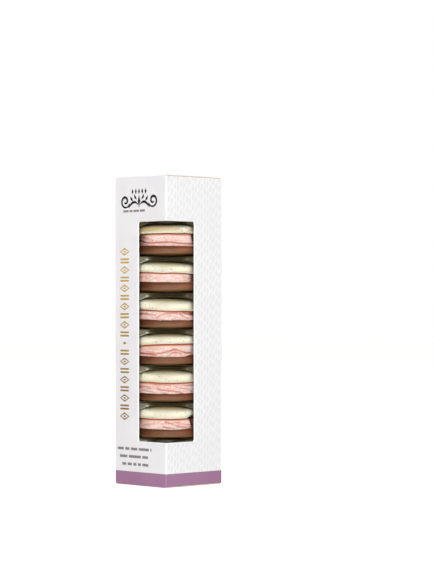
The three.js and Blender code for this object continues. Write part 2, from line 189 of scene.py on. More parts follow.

# What differs from one macaron to the next, the first being the highest in the carton. Heights are above
# the seat: rim is the dark shell's rim, edge the pale shell's lower edge at places across, and top the pale
# shell's middle, which sinks to the right by lean for each millimetre. Also at places across, lip is how
# far the filling hangs over the rim, gap how deep the groove under the pale shell is, end_shade how much
# painted shade darkens the filling towards its ends, and painted_shading how much painted shade, in a deep
# cream, the pale shell has, or below nought how much painted light. A crease is a line pressed into the
# filling, through points given as millimetres across and share of the filling's height, with a depth and a
# width. chip is where the pale shell's lower edge is broken away, as angles round the shell, and how high.
MACARONS = [
    {
        "rim": 6.0, "top": 17.95, "lean": -0.01,
        "edge": [(-16, 12.6), (-8, 12.75), (0, 12.9), (7, 12.75), (11, 12.9), (16, 12.7)],
        "lip": [(-14, 0.3), (0, 0.6), (14, 0.7)],
        "gap": [(-16, 2.8), (-6, 2.2), (2, 1.5), (10, 1.4), (14, 2.2)],
        "end_shade": [(-17.5, 1.0), (-15.8, 1.0), (-13.8, 0.8), (-10.5, 0.1), (-9.0, 0.0),
                 (12.0, 0.0), (13.8, 1.0)],
        "painted_shading": [(-16, 1.0), (-10, 0.9), (0, 0.6), (6, 0.2), (10.5, -0.9), (12, -0.3), (13.5, 1.0)],
        "creases": [
            ([(-18, 0.5), (-15, 0.42), (-12.5, 0.28), (-9, 0.22), (-3, 0.27), (3, 0.27),
              (10, 0.2), (18, 0.2)], 1.2, 0.45),
            ([(-12, 0.1), (-5, 0.07), (4, 0.1), (12, 0.06)], 0.4, 0.3),
            ([(-17, 0.75), (-12, 0.62), (-8, 0.45)], 0.35, 0.6),
            ([(-17.8, 0.0), (-17.3, 0.5), (-17.8, 1.0)], 2.4, 1.2),
            ([(14.8, 0.3), (14.3, 0.7), (14.0, 1.0)], 2.2, 0.8),
        ],
    },
    {
        "rim": 6.3, "top": 17.25, "lean": 0.035,
        "edge": [(-16, 11.65), (-8, 11.45), (-2, 11.0), (4, 11.3), (9, 11.1), (14, 10.65)],
        "lip": [(-12, 0.35), (-7, 0.75), (8, 0.8), (12, 0.4), (14, 0.1)],
        "gap": [(-10, 0.8), (8, 0.8), (14, 1.8)],
        "end_shade": [(12.0, 0.0), (13.2, 1.0)],
        "creases": [
            ([(-16, 0.5), (-11, 0.62), (-7, 0.5)], 0.2, 0.7),
            ([(2, 0.75), (5, 0.45), (4, 0.15)], 0.25, 0.6),
            ([(9, 0.7), (13, 0.4), (14.5, 0.1)], 0.3, 0.5),
        ],
    },
    {
        "rim": 5.8, "top": 17.35, "lean": 0.035,
        "edge": [(-16, 11.35), (-8, 10.9), (-2, 10.45), (8, 10.4), (14, 10.3)],
        "lip": [(-14, 0.45), (-8, 0.7), (-4, 1.0), (12, 1.0), (15, 0.4)],
        "gap": [(-14, 1.0), (-7, 1.2), (-4, 1.7), (8, 1.7), (10, 2.4), (16, 3.0)],
        "end_shade": [(-17.5, 0.5), (-14.0, 0.2), (-9.0, 0.0), (12.8, 0.0), (14.5, 0.8)],
        "creases": [
            ([(-18, 0.55), (-11, 0.57), (-6.5, 0.48)], 0.8, 0.4),
            ([(-6.5, 0.1), (-4, 0.5), (0, 0.73), (6, 0.78), (8.5, 0.66)], 0.9, 0.4),
            ([(-2.5, 0.08), (-0.5, 0.38), (2, 0.58)], 0.6, 0.4),
            ([(3, 0.1), (5, 0.42)], 0.45, 0.4),
            ([(7.5, 0.66), (10, 0.34), (12.5, 0.1)], 0.8, 0.45),
            ([(9.5, 0.92), (12, 0.8), (15, 0.66), (18, 0.55)], 1.7, 1.0),
            ([(-9, 0.7), (-8, 0.4), (-8.5, 0.1)], 0.3, 0.35),
            ([(-4, 0.75), (-5, 0.4)], 0.35, 0.35),
        ],
    },
    {
        "rim": 6.4, "top": 18.1, "lean": -0.005,
        "edge": [(-17, 11.4), (-12, 11.9), (-6, 12.3), (0, 12.5), (8, 12.65), (14, 12.7)],
        "lip": [(-17, 1.0), (-13, 1.2), (-8, 1.3), (-1, 1.6), (7, 1.6), (10.5, 1.3), (12.5, 0.1)],
        "gap": [(-12, 0.6), (-2, 0.9), (10, 1.1), (13, 2.4)],
        "end_shade": [(13.0, 0.0), (15.0, 0.6)],
        "creases": [
            ([(-11, 0.27), (-5, 0.28), (-2, 0.35), (1, 0.43), (3, 0.52), (5, 0.55), (7, 0.49),
              (9, 0.36), (11, 0.26), (14, 0.1)], 1.1, 0.45),
            ([(-18, 0.3), (-14, 0.27), (-10, 0.21), (-6, 0.14)], 1.8, 0.45),
            ([(-16, 0.46), (-11, 0.42), (-7, 0.38)], 0.5, 0.35),
            ([(-15, 0.14), (-11, 0.09), (-7, 0.06)], 0.8, 0.25),
            ([(1.8, 0.24), (3.4, 0.34), (5.2, 0.36), (8.2, 0.22)], 1.1, 0.35),
            ([(0.2, 0.05), (1.4, 0.16)], 0.8, 0.4),
            ([(-12, 0.7), (-6, 0.62), (-1, 0.66)], 0.3, 0.6),
        ],
    },
    {
        "rim": 5.6, "top": 18.25, "lean": 0.008,
        "edge": [(-16, 11.75), (-9, 11.7), (-4, 11.4), (4, 11.35), (10, 11.45), (14, 11.75)],
        "lip": [(-14, 0.5), (-6, 0.8), (-3, 0.9), (-1, 0.5), (1, 0.9), (5, 0.9), (8, 0.3),
                (10, 0.8), (14, 0.3)],
        "gap": [(-14, 1.0), (10, 1.0), (14, 2.2)],
        "end_shade": [(13.5, 0.0), (15.5, 0.6)],
        "creases": [
            ([(-18, 0.42), (-14, 0.56), (-11.5, 0.56), (-9, 0.44)], 0.7, 0.45),
            ([(-9.5, 0.86), (-6.5, 0.78), (-3, 0.8), (2, 0.72)], 0.8, 0.5),
            ([(-5.5, 0.44), (-3, 0.36), (-0.9, 0.3), (3.4, 0.27), (6, 0.17), (8.8, 0.0)], 0.9, 0.4),
            ([(-3.4, 0.04), (-1, 0.08), (1, 0.1)], 0.8, 0.35),
            ([(5, 0.55), (9, 0.46), (12, 0.34), (14, 0.15)], 0.6, 0.45),
            ([(-15, 0.28), (-11, 0.2), (-7, 0.12)], 0.5, 0.4),
            ([(-8, 0.5), (-5, 0.62), (0, 0.56), (4, 0.45)], 0.45, 0.4),
            ([(8, 0.75), (11, 0.66), (15, 0.7)], 0.5, 0.4),
        ],
    },
    {
        "rim": 6.4, "top": 18.35, "lean": 0.015,
        "edge": [(-16, 11.95), (-8, 11.75), (0, 11.65), (8, 11.75), (14, 11.95)],
        "lip": [(-14, 0.6), (-6, 0.9), (5, 1.2), (9, 0.9), (13, 0.3)],
        "gap": [(-14, 0.6), (0, 1.0), (11, 1.1), (14, 2.0)],
        "end_shade": [(-17.5, 0.7), (-14.0, 0.4), (-9.0, 0.0), (12.2, 0.0), (13.6, 1.0)],
        "creases": [
            ([(-14, 0.3), (-11, 0.42), (-7.5, 0.6)], 0.5, 0.6),
            ([(-1, 0.7), (2.3, 0.58), (4.5, 0.42), (7, 0.28), (10, 0.18), (14, 0.12)], 0.9, 0.45),
            ([(-2, 0.26), (0.5, 0.2), (2.4, 0.14), (4.4, 0.1)], 0.9, 0.4),
            ([(10.5, 0.08), (12.5, 0.04), (16, 0.04)], 1.4, 0.5),
            ([(4, 0.75), (8, 0.55), (12, 0.38), (15, 0.3)], 0.6, 0.45),
            ([(-5, 0.6), (-2, 0.45), (1, 0.36)], 0.4, 0.4),
            ([(14.6, 0.0), (14.0, 0.5), (13.4, 1.0)], 2.0, 0.9),
        ],
        "chip": {"from": 0.62, "to": 1.25, "height": 2.0},
    },
]

# Painted shading of the usual pale shell across it: painted light from the left end to the right side, and
# painted shade at the far right end
USUAL_PAINTED_SHADING = [(-17, -1.0), (-12.5, -1.0), (-4, -0.1), (-1, -0.1), (9, -0.7), (12.7, -0.7), (14.5, 0.8)]


# Helpers for meshes


def to_world(points):
    """Turns points of the contents' frame into the carton's frame"""
    x, y, z = points[..., 0], points[..., 1], points[..., 2]
    turned_x = x * math.cos(TURN) - y * math.sin(TURN)
    turned_y = x * math.sin(TURN) + y * math.cos(TURN)
    return np.stack([turned_x, turned_y, z], axis=-1)


def new_piece(name, points, faces, materials, slot):
    """A mesh from points in millimetres. With a slot it is a piece that rides on the carton's body"""
    mesh = bpy.data.meshes.new(name)
    mesh.from_pydata((np.asarray(points) * MM).tolist(), [], faces)
    mesh.validate()
    for material in materials:
        mesh.materials.append(material)
    piece = bpy.data.objects.new(name, mesh)
    bpy.context.scene.collection.objects.link(piece)
    if slot:
        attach(piece, "root")
    return piece


def shade_smooth(piece, sharp_degrees):
    piece.data.polygons.foreach_set("use_smooth", [True] * len(piece.data.polygons))
    piece.data.set_sharp_from_angle(angle=math.radians(sharp_degrees))


@contextmanager
def opened(piece):
    """The piece's mesh, open for changes, which are written back at the end"""
    shape = bmesh.new()
    shape.from_mesh(piece.data)
    yield shape
    shape.to_mesh(piece.data)
    shape.free()


def apply_modifiers(piece):
    graph = bpy.context.evaluated_depsgraph_get()
    result = bpy.data.meshes.new_from_object(piece.evaluated_get(graph))
    piece.modifiers.clear()
    piece.data = result


def store(piece, name, values):
    """Keeps a number for each vertex, which a material reads"""
    layer = piece.data.attributes.new(name, "FLOAT", "POINT")
    layer.data.foreach_set("value", np.array(values, dtype=np.float32))


def combine(target, tool, operation):
    """Joins the tool to the target or cuts it out of it, and removes the tool"""
    modifier = target.modifiers.new("combine", "BOOLEAN")
    modifier.operation = operation
    modifier.solver = "EXACT"
    modifier.object = tool
    apply_modifiers(target)
    bpy.data.objects.remove(tool)


def grid_faces(rows, columns, closed=True):
    faces = []
    for row in range(rows - 1):
        for column in range(columns if closed else columns - 1):
            following = (column + 1) % columns
            low, high = row * columns, (row + 1) * columns
            faces.append((low + column, low + following, high + following, high + column))
    return faces


def ring_solid(radius, angles, height, bottom, top):
    """Points and faces of a closed solid of rings; radius and height have a row for each ring, and
    bottom and top are the heights of its two middles
    """
    rows, columns = radius.shape
    x = radius * np.sin(angles)
    y = -radius * np.cos(angles)
    points = np.stack([x, y, height], axis=-1).reshape(-1, 3)
    points = np.concatenate([points, [(0, 0, bottom), (0, 0, top)]])
    faces = grid_faces(rows, columns)
    low, high = rows * columns, rows * columns + 1
    last = (rows - 1) * columns
    for column in range(columns):
        following = (column + 1) % columns
        faces.append((low, following, column))
        faces.append((high, last + column, last + following))
    return points, faces


def rings(profile):
    """The two numbers of each of an outline's points, apart, each with a row for each ring"""
    outline = np.array(profile)
    return outline[:, :1], outline[:, 1:]


def round_angles(count):
    return np.arange(count) / count * 2 * math.pi


def arc(start_degrees, end_degrees, steps):
    return [math.radians(start_degrees + (end_degrees - start_degrees) * i / steps) for i in range(steps + 1)]


def round_edge(radius, steps):
    """How far in from a side and down from the top each point of a rounded edge lies, going up"""
    return [(radius * (1 - math.cos(angle)), radius * (1 - math.sin(angle))) for angle in arc(0, 90, steps)]


def smooth_step(value, low, high):
    share = np.clip((value - low) / (high - low), 0.0, 1.0)
    return share * share * (3 - 2 * share)


def soft_line(points, across):
    """Height at each place across, along a softened line through (across, height) points"""
    places, heights = zip(*points)
    grid = np.linspace(-24, 24, 193)
    window = np.hanning(15)
    padded = np.pad(np.interp(grid, places, heights), 7, mode="edge")
    return np.interp(across, grid, np.convolve(padded, window / window.sum(), "valid"))


def unevenness(angles, seed):
    """Slight waves round a shell, from about -1 to 1"""
    return 0.6 * np.sin(2 * angles + seed) + 0.4 * np.sin(5 * angles + 2.3 * seed)


def wave_noise(x, y, seed, octaves=4):
    """Smooth random waves over a plane, from about -1 to 1, made of turned sines"""
    random = np.random.default_rng(seed)
    total = np.zeros_like(x)
    size = 1.0
    for _ in range(octaves):
        for _ in range(5):
            angle, phase, warp = random.uniform(0, 2 * math.pi, 3)
            frequency = size * random.uniform(0.7, 1.4)
            along = x * math.cos(angle) + y * math.sin(angle)
            total += np.sin(frequency * along + phase + 0.8 * np.sin(0.6 * frequency * (x - y) + warp)) / size
        size *= 1.9
    return total / 5


# Helpers for materials


class Shading:
    """The nodes of one material, with a Principled shader at their end"""

    def __init__(self, name, **settings):
        self.material = bpy.data.materials.new(name)
        self.material.use_nodes = True
        self.tree = self.material.node_tree
        self.shader = self.tree.nodes["Principled BSDF"]
        for key, value in settings.items():
            self.set_input(self.shader, key.replace("_", " ").title().replace("Ior", "IOR"), value)

    def set_input(self, node, key, value):
        if isinstance(value, bpy.types.NodeSocket):
            self.tree.links.new(value, node.inputs[key])
        else:
            node.inputs[key].default_value = value

    def add(self, kind, inputs=None, **settings):
        node = self.tree.nodes.new(kind)
        for key, value in settings.items():
            setattr(node, key, value)
        for key, value in (inputs or {}).items():
            self.set_input(node, key, value)
        return node

    def math(self, operation, first, second=0.0, third=0.0):
        inputs = {0: first, 1: second, 2: third}
        return self.add("ShaderNodeMath", inputs, operation=operation).outputs[0]

    def mix(self, factor, first, second):
        node = self.add("ShaderNodeMix", {0: factor, 6: first, 7: second}, data_type="RGBA")
        return node.outputs[2]

    def ramp(self, value, low, high, to_low=0.0, to_high=1.0):
        inputs = {0: value, 1: low, 2: high, 3: to_low, 4: to_high}
        return self.add("ShaderNodeMapRange", inputs, interpolation_type="SMOOTHSTEP").outputs[0]

    def millimetres(self, scale=(1.0, 1.0, 1.0)):
        """Object coordinates in millimetres, stretched by scale"""
        place = self.add("ShaderNodeTexCoord").outputs["Object"]
        per_metre = tuple(value / MM for value in scale)
        return self.add("ShaderNodeMapping", {"Vector": place, "Scale": per_metre}).outputs[0]

    def noise(self, place, scale, detail=3.0, roughness=0.5):
        inputs = {"Vector": place, "Scale": scale, "Detail": detail, "Roughness": roughness}
        return self.add("ShaderNodeTexNoise", inputs).outputs[0]

    def shifted(self, place, scale):
        """The place, moved at random by up to about half a millimetre"""
        noise = self.add("ShaderNodeTexNoise", {"Vector": place, "Scale": scale, "Detail": 2.0})
        middle = {0: noise.outputs[1], 1: (0.5, 0.5, 0.5)}
        shift = self.add("ShaderNodeVectorMath", middle, operation="SUBTRACT").outputs[0]
        return self.add("ShaderNodeVectorMath", {0: place, 1: shift}, operation="ADD").outputs[0]

    def cells(self, place, scale):
        """Distance to the nearest of scattered points, and a random number from 0 to 1 for each"""
        node = self.add("ShaderNodeTexVoronoi", {"Vector": place, "Scale": scale})
        chance = self.add("ShaderNodeSeparateColor", {0: node.outputs["Color"]}).outputs[0]
        return node.outputs["Distance"], chance

    def attribute(self, name):
        return self.add("ShaderNodeAttribute", attribute_name=name).outputs["Fac"]

    def bump(self, height, distance):
        bumps = self.add("ShaderNodeBump", {"Height": height, "Distance": distance * MM, "Strength": 1.0})
        self.tree.links.new(bumps.outputs[0], self.shader.inputs["Normal"])

    def paint(self, colour):
        self.tree.links.new(colour, self.shader.inputs["Base Color"])


def rgb(red, green, blue):
    """A colour given as it shows on a screen, from 0 to 255"""
    def linear(value):
        share = value / 255
        return share / 12.92 if share <= 0.04045 else ((share + 0.055) / 1.055) ** 2.4
    return (linear(red), linear(green), linear(blue), 1.0)


# Materials of the carton


def coated_card(name, colour, shade):
    """Smooth printed board, with a faint mottle and a fine tooth"""
    card = Shading(name, roughness=0.5, specular_ior_level=0.35)
    place = card.millimetres()
    mottle = card.ramp(card.noise(place, 0.06, 2.0), 0.35, 0.65)
    card.paint(card.mix(mottle, shade, colour))
    card.bump(card.noise(place, 3.0, 2.0), 0.004)
    return card


def title_card():
    return coated_card("card_title", rgb(243, 242, 243), rgb(240, 238, 241)).material


def depth_in_leaf(card, across, along):
    """How far inside a leaf a place lies, in millimetres"""
    depth = LEAF_ROW
    for start, end in zip(LEAF_CORNERS, LEAF_CORNERS[1:] + LEAF_CORNERS[:1]):
        side = Vector(end) - Vector(start)
        side.normalize()
        offset = side.y * start[0] - side.x * start[1]
        from_side = card.math("MULTIPLY_ADD", along, side.x, offset)
        from_side = card.math("MULTIPLY_ADD", across, -side.y, from_side)
        depth = card.math("MINIMUM", from_side, depth)
    return depth


def patterned_card():
    """Board printed with columns of pale grey leaves"""
    card = coated_card("card_pattern", rgb(250, 250, 250), rgb(247, 247, 248))
    place = card.add("ShaderNodeUVMap", uv_map="print").outputs[0]
    split = card.add("ShaderNodeSeparateXYZ", {0: place})
    column_at = card.math("MULTIPLY_ADD", split.outputs[0], 4 * CARTON_WIDTH / LEAF_COLUMN, 0.5)
    column = card.math("FLOOR", column_at)
    row_at = card.math("MULTIPLY", split.outputs[1], CARTON_HEIGHT / LEAF_ROW)
    row_at = card.math("MULTIPLY_ADD", column, LEAF_SHIFT, row_at)
    turned = card.math("MULTIPLY_ADD", card.math("MODULO", column, 2.0), 2.0, -1.0)
    across = card.math("MULTIPLY", card.math("SUBTRACT", card.math("FRACT", column_at), 0.5), turned)
    along = card.math("MULTIPLY", card.math("SUBTRACT", card.math("FRACT", row_at), 0.5), turned)
    across = card.math("MULTIPLY", across, LEAF_COLUMN)
    along = card.math("MULTIPLY", along, LEAF_ROW)
    inside = card.ramp(depth_in_leaf(card, across, along), -0.1, 0.22)
    plain = card.shader.inputs["Base Color"].links[0].from_socket
    card.paint(card.mix(inside, plain, rgb(240, 240, 241)))
    return card.material


def band_card():
    return coated_card("card_band", rgb(169, 124, 158), rgb(163, 118, 152)).material


def cut_card():
    """The white core that shows where the window is cut"""
    card = Shading("card_cut", roughness=0.8)
    fibre = card.noise(card.millimetres((1.0, 1.0, 6.0)), 2.0)
    card.paint(card.mix(fibre, rgb(250, 250, 250), rgb(255, 255, 255)))
    return card.material


def raw_card():
    """Unprinted board, as on the inside and along the lid's cut edge"""
    card = Shading("card_raw", roughness=0.85)
    fibre = card.noise(card.millimetres((1.0, 1.0, 3.0)), 1.4, 5.0, 0.7)
    card.paint(card.mix(card.ramp(fibre, 0.3, 0.7), rgb(196, 178, 158), rgb(219, 205, 188)))
    card.bump(fibre, 0.03)
    return card.material


def gold_ink():
    """Foil that turns from pale to deep gold down the panel"""
    gold = Shading("gold_foil", roughness=0.5, metallic=0.15)
    height = gold.add("ShaderNodeSeparateXYZ", {0: gold.millimetres()}).outputs[2]
    pale = gold.ramp(height, 36.0, 138.0)
    grain = gold.noise(gold.millimetres(), 1.6)
    colour = gold.mix(pale, rgb(134, 98, 4), rgb(212, 174, 60))
    gold.paint(gold.mix(gold.math("MULTIPLY", grain, 0.2), colour, rgb(210, 176, 70)))
    gold.bump(grain, 0.01)
    return gold.material


def plain_ink(name, colour, worn):
    ink = Shading(name, roughness=0.7, specular_ior_level=0.25)
    ink.paint(ink.mix(ink.noise(ink.millimetres(), 2.2), colour, worn))
    return ink.material


# Carton


def rounded_square(half, radius, steps=8):
    """Outline of the carton in plan, counter-clockwise from the fold with the window"""
    points = []
    for corner in range(4):
        middle = corner * 90 - 45
        centre_x = math.copysign(half - radius, math.cos(math.radians(middle)))
        centre_y = math.copysign(half - radius, math.sin(math.radians(middle)))
        for angle in arc(middle - 45, middle + 45, steps):
            points.append((centre_x + radius * math.cos(angle), centre_y + radius * math.sin(angle)))
    return points


def loft(name, loops):
    """A closed solid through loops of equal length, each a list of points in space"""
    count = len(loops[0])
    points = [point for loop in loops for point in loop]
    faces = grid_faces(len(loops), count)
    faces.append(tuple(reversed(range(count))))
    faces.append(tuple(range(len(points) - count, len(points))))
    piece = new_piece(name, points, faces, [], None)
    with opened(piece) as shape:
        bmesh.ops.recalc_face_normals(shape, faces=shape.faces)
    return piece


def card_walls():
    """A solid in the shape of the four walls, with rounded edges at the top and bottom folds"""
    edge = round_edge(TOP_FOLD_RADIUS, 4)
    levels = [(inset, BOARD + rise) for inset, rise in reversed(edge)]
    levels += [(inset, CARTON_HEIGHT - BOARD - drop) for inset, drop in edge]
    outlines = [(rounded_square(HALF - inset, FOLD_RADIUS), height) for inset, height in levels]
    return loft("walls", [[(x, y, height) for x, y in outline] for outline, height in outlines])


def end_panel(top):
    """The panel that hinges on the title panel and is tucked in at the back"""
    front, back = -HALF, INNER_HALF
    depth = END_THICKNESS - INK
    outline = [(front, 0.0), (back, 0.0)]
    outline += [(back - inset, depth - drop) for inset, drop in round_edge(FOLD_RADIUS, 6)]
    outline += [(front + inset, depth - drop) for inset, drop in reversed(round_edge(TOP_FOLD_RADIUS, 6))]
    reach = HALF - END_PANEL_INSET
    loops = []
    for side in (-reach, -reach + END_PANEL_CORNER, reach - END_PANEL_CORNER, reach):
        loop = []
        for y, rise in outline:
            forward = max(y, front + (END_PANEL_SETBACK if abs(side) == reach else 0.0))
            height = CARTON_HEIGHT - END_THICKNESS + rise if top else END_THICKNESS - rise
            loop.append((side, forward, height))
        loops.append(loop)
    return loft("end_panel", loops)


def window_loop(left, right, grow, place):
    """A rounded rectangle of the window's height, laid on a panel by place"""
    low, high = WINDOW_BOTTOM - grow, WINDOW_TOP + grow
    left, right = left - grow, right + grow
    radius = WINDOW_CORNER_RADIUS + grow
    loop = []
    for start, across, height in ((-90, right, low), (0, right, high), (90, left, high), (180, left, low)):
        middle_x = across + (radius if across == left else -radius)
        middle_z = height + (radius if height == low else -radius)
        for angle in arc(start, start + 90, 6):
            loop.append(place(middle_x + radius * math.cos(angle), middle_z + radius * math.sin(angle)))
    return loop


def window_cutter(left, right, along_x):
    """A solid that cuts the window out of one panel and bevels its outer edge"""
    loops = []
    for depth, grow in ((BOARD + 2, 0.0), (CUT_BEVEL, 0.0), (-CUT_BEVEL, CUT_BEVEL * 2)):
        def place(across, height, depth=depth):
            if along_x:
                return (HALF - depth, across, height)
            return (across, -HALF + depth, height)
        loops.append(window_loop(left, right, grow, place))
    return loft("window_cutter", loops)


def hollow():
    inner = rounded_square(INNER_HALF, FOLD_RADIUS - BOARD, 3)
    heights = (END_THICKNESS, CARTON_HEIGHT - END_THICKNESS)
    return loft("hollow", [[(x, y, height) for x, y in inner] for height in heights])


TITLE, PATTERN, BAND, CUT, RAW = range(5)


def card_material(centre, normal):
    """Which of the card's materials a face takes, from where it lies and which way it faces"""
    outward = max(abs(centre.x), abs(centre.y))
    from_end = min(centre.z, CARTON_HEIGHT - centre.z)
    if from_end < BOARD and abs(normal.x) > 0.9:
        return RAW
    if from_end > END_THICKNESS - TOLERANCE and outward < INNER_HALF + TOLERANCE:
        return RAW
    if WINDOW_BOTTOM - 1 < centre.z < WINDOW_TOP + 1 and outward < HALF - TOLERANCE:
        return CUT
    if centre.z < BAND_HEIGHT:
        return BAND
    if normal.y < -0.7 or abs(normal.z) > 0.9:
        return TITLE
    return PATTERN


def print_place(point, normal):
    """Where a point of the card lies on the flat sheet, as shares of its width and height"""
    if normal.x > 0.7:
        along = HALF + point.y
    elif normal.y > 0.7:
        along = 3 * HALF - point.x
    elif normal.x < -0.7:
        along = 5 * HALF - point.y
    else:
        along = 7 * HALF + point.x
    return along / (4 * CARTON_WIDTH), point.z / CARTON_HEIGHT


def finish_card(piece):
    """Splits off the band at the foot, and gives each face its material and its place on the sheet"""
    with opened(piece) as shape:
        everything = shape.verts[:] + shape.edges[:] + shape.faces[:]
        bmesh.ops.bisect_plane(shape, geom=everything, plane_co=(0, 0, BAND_HEIGHT * MM), plane_no=(0, 0, 1))
        layer = shape.loops.layers.uv.new("print")
        for face in shape.faces:
            face.material_index = card_material(face.calc_center_median() / MM, face.normal)
            face.smooth = max(abs(value) for value in face.normal) < 0.9995
            for loop in face.loops:
                loop[layer].uv = print_place(loop.vert.co / MM, face.normal)


def build_carton():
    walls = card_walls()
    combine(walls, end_panel(True), "UNION")
    combine(walls, end_panel(False), "UNION")
    combine(walls, hollow(), "DIFFERENCE")
    beyond = HALF + 3
    combine(walls, window_cutter(CARTON_WIDTH / 2 - WINDOW_ON_TITLE_PANEL, beyond, False), "DIFFERENCE")
    combine(walls, window_cutter(-beyond, WINDOW_ON_SIDE_PANEL - CARTON_WIDTH / 2, True), "DIFFERENCE")
    walls.name = "carton_card"
    for material in (title_card(), patterned_card(), band_card(), cut_card(), raw_card()):
        walls.data.materials.append(material)
    finish_card(walls)
    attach(walls, "root")
    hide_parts("carton")


# Print on the title panel, as thin flat strokes


class Print:
    """Flat strokes on the title panel, gathered into one mesh"""

    def __init__(self):
        self.points = []
        self.faces = []

    def stroke(self, line, widths, closed=False):
        """A stroke along a line of (across, height) points, as wide at each as widths says"""
        line = np.array(line, dtype=float)
        count = len(line)
        before = np.roll(line, 1, axis=0) if closed else np.concatenate([line[:1], line[:-1]])
        after = np.roll(line, -1, axis=0) if closed else np.concatenate([line[1:], line[-1:]])
        along = after - before
        along /= np.linalg.norm(along, axis=1, keepdims=True)
        side = np.stack([-along[:, 1], along[:, 0]], axis=1) * np.broadcast_to(widths, count)[:, None] / 2
        start = len(self.points)
        for depth in (-HALF - INK, -HALF + INK_DEPTH):
            for edge in (line - side, line + side):
                self.points.extend((across, depth, height) for across, height in edge)
        rows = [start + part * count for part in (0, 1, 3, 2)]
        for index in range(count if closed else count - 1):
            following = (index + 1) % count
            for row, next_row in zip(rows, rows[1:] + rows[:1]):
                self.faces.append((row + index, row + following, next_row + following, next_row + index))
        if not closed:
            self.faces.append(tuple(rows))
            self.faces.append(tuple(row + count - 1 for row in reversed(rows)))

    def piece(self, name, material):
        return new_piece(name, self.points, self.faces, [material], "board")


def gold_ornament():
    """A column of open lozenges and paired bars up the left of the title panel, with one break in it"""
    across, left, right = GOLD_ACROSS, GOLD_ACROSS - GOLD_REACH, GOLD_ACROSS + GOLD_REACH
    gold = Print()
    for index in range(GOLD_COUNT):
        height = GOLD_LOW + GOLD_STEP * index
        if index == GOLD_BREAK:
            gold.stroke([(across - 1.7, height), (across, height), (across + 1.7, height)], [0.1, 1.7, 0.1])
        elif index % 2:
            for offset in (-0.95, 0.95):
                gold.stroke([(left, height + offset), (right, height + offset)], GOLD_LINE)
        else:
            corners = [(left, height), (across, height + 1.8), (right, height), (across, height - 1.8)]
            gold.stroke(corners, GOLD_LINE, closed=True)
            gold.stroke([(across - 1.3, height), (across, height), (across + 1.3, height)], [0.1, 1.1, 0.1])
    gold.piece("gold_ornament", gold_ink())


def spiral(centre, start, turns, widest, side):
    """Points and widths of a scroll that winds in towards its centre"""
    line, widths = [], []
    for step in range(41):
        share = step / 40
        angle = start + turns * 2 * math.pi * share
        radius = widest * (1 - 0.8 * share)
        line.append((centre[0] + side * radius * math.cos(angle), centre[1] + radius * math.sin(angle)))
        widths.append(0.7 + 0.75 * math.sin(math.pi * share))
    return line, widths


def dark_ornament():
    """Two scrolls with leaves between them, and a row of small lozenges above"""
    middle, height = SCROLLS_ACROSS, SCROLLS_HEIGHT
    ink = Print()
    for side in (-1, 1):
        ink.stroke(*spiral((middle + side * 12.0, height + 0.4), math.radians(200), 1.35, 4.0, side))
        sweep = [(middle + side * across, height - 2.4 + 2.2 * math.sin(across / 2.6))
                 for across in np.linspace(1.0, 9.2, 16)]
        ink.stroke(sweep, [0.6 + 0.9 * math.sin(math.pi * index / 15) for index in range(16)])
        for across, rise in ((3.4, 2.6), (6.6, 1.6)):
            shape = ((across - 1.2, rise - 1.4), (across, rise), (across + 1.0, rise + 1.6))
            ink.stroke([(middle + side * x, height + y) for x, y in shape], [0.2, 1.6, 0.2])
    ink.stroke([(middle, height - 3.4), (middle, height + 0.2), (middle, height + 3.8)], [0.1, 2.2, 0.1])
    for index in range(5):
        across = middle + LOZENGE_STEP * (index - 2)
        ink.stroke([(across, LOZENGES_HEIGHT + rise) for rise in (-1.6, 0, 1.6)], [0.2, 1.6, 0.2])
    ink.piece("dark_ornament", plain_ink("ink_dark", rgb(16, 14, 15), rgb(34, 30, 32)))


def grey_rules():
    """Short bars in rows, where small print stands"""
    rows = [
        (158.3, 1.2, 0.4, -14.6, [4.4, 2.6, 4.6, 4.4]),
        (20.9, 1.5, 0.75, -19.6, [5.2, 3.6, 5.6, 8.6, 0.9]),
        (16.5, 1.5, 0.75, -17.8, [6.6, 10.4, 4.8]),
        (12.1, 1.5, 0.75, -15.6, [3.4, 3.6, 2.6, 2.6, 5.0]),
    ]
    ink = Print()
    for height, thickness, gap, across, lengths in rows:
        for length in lengths:
            ink.stroke([(across, height), (across + length, height)], thickness)
            across += length + gap + thickness * 0.4
    ink.piece("grey_rules", plain_ink("ink_grey", rgb(126, 120, 124), rgb(150, 145, 149)))


# Tray


def tray_plastic():
    """Smoky olive formed plastic, glossy, with slight ripples from forming, and painted light and shade"""
    tray = Shading("tray_plastic", roughness=0.34, ior=1.42, specular_tint=(1.0, 0.9, 0.68, 1.0))
    place = tray.millimetres()
    cloud = tray.ramp(tray.noise(place, 0.12, 2.0), 0.35, 0.65)
    # deep is the painted shade and pale the plastic in common light, mixed by the painted light
    deep = tray.mix(cloud, rgb(52, 45, 24), rgb(61, 54, 32))
    pale = tray.mix(cloud, rgb(89, 80, 54), rgb(101, 92, 66))
    painted_light = tray.attribute("pale")
    colour = tray.mix(tray.ramp(painted_light, 0.0, 1.0), deep, pale)
    # Above 1 the colour turns to a near white painted highlight
    tray.paint(tray.mix(tray.ramp(painted_light, 1.0, 2.0), colour, rgb(226, 226, 208)))
    tray.bump(tray.noise(place, 0.5, 2.0), 0.12)
    return tray.material


